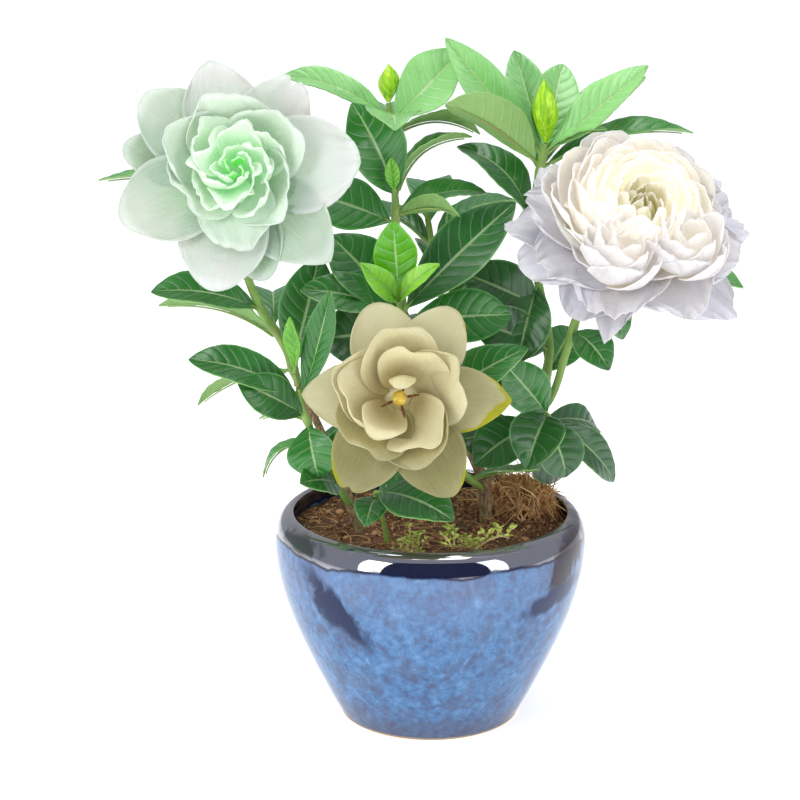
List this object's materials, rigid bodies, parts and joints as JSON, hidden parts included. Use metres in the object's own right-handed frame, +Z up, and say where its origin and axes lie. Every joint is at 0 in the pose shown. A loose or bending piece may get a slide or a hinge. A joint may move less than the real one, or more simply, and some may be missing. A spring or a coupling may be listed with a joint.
{
  "type": "potted gardenia",
  "caption": "Bushy gardenia with glossy leaves and large double blooms, planted in a round blue glazed bowl pot.",
  "frame": {"origin": "centre of the pot's flat base, on the surface that it stands on", "axes": "+Z up, -Y towards the front bloom and the viewer, +X to the viewer's right"},
  "size_m": [0.2863, 0.1604, 0.3123],
  "materials": {
    "glaze": "gloss",
    "soil": "matte",
    "coir": "matte",
    "moss": "matte",
    "bark": "matte",
    "leaf": "satin",
    "young_leaf": "satin",
    "petal_pale": "matte",
    "petal_ivory": "matte",
    "petal_cream": "matte",
    "pistil": "satin",
    "anther": "satin"
  },
  "bodies": {
    "root": {"pot": "glaze", "soil": "soil", "coir_clump": "coir", "moss_sprig_right": "moss", "moss_sprig_left": "moss", "trunk_right": "bark", "trunk_left": "bark", "shoot_crown_left": "leaf", "shoot_centre": "leaf", "shoot_crown_right": "leaf", "shoot_bloom_right": "leaf", "shoot_low_right": "leaf", "shoot_front": "leaf", "sprout_front": "leaf", "shoot_left": "leaf", "shoot_bloom_left": "leaf", "shoot_back": "leaf", "sprout_back": "leaf", "young_leaves_centre": "young_leaf", "young_leaf_left": "young_leaf", "young_leaf_crown": "young_leaf", "bud_crown_left": "young_leaf", "bud_crown_right": "young_leaf", "bloom_left": "petal_pale", "bloom_right": "petal_ivory", "bloom_front": "petal_cream", "bloom_front_pistil": "pistil", "bloom_front_anthers": "anther"}
  },
  "joints": []
}
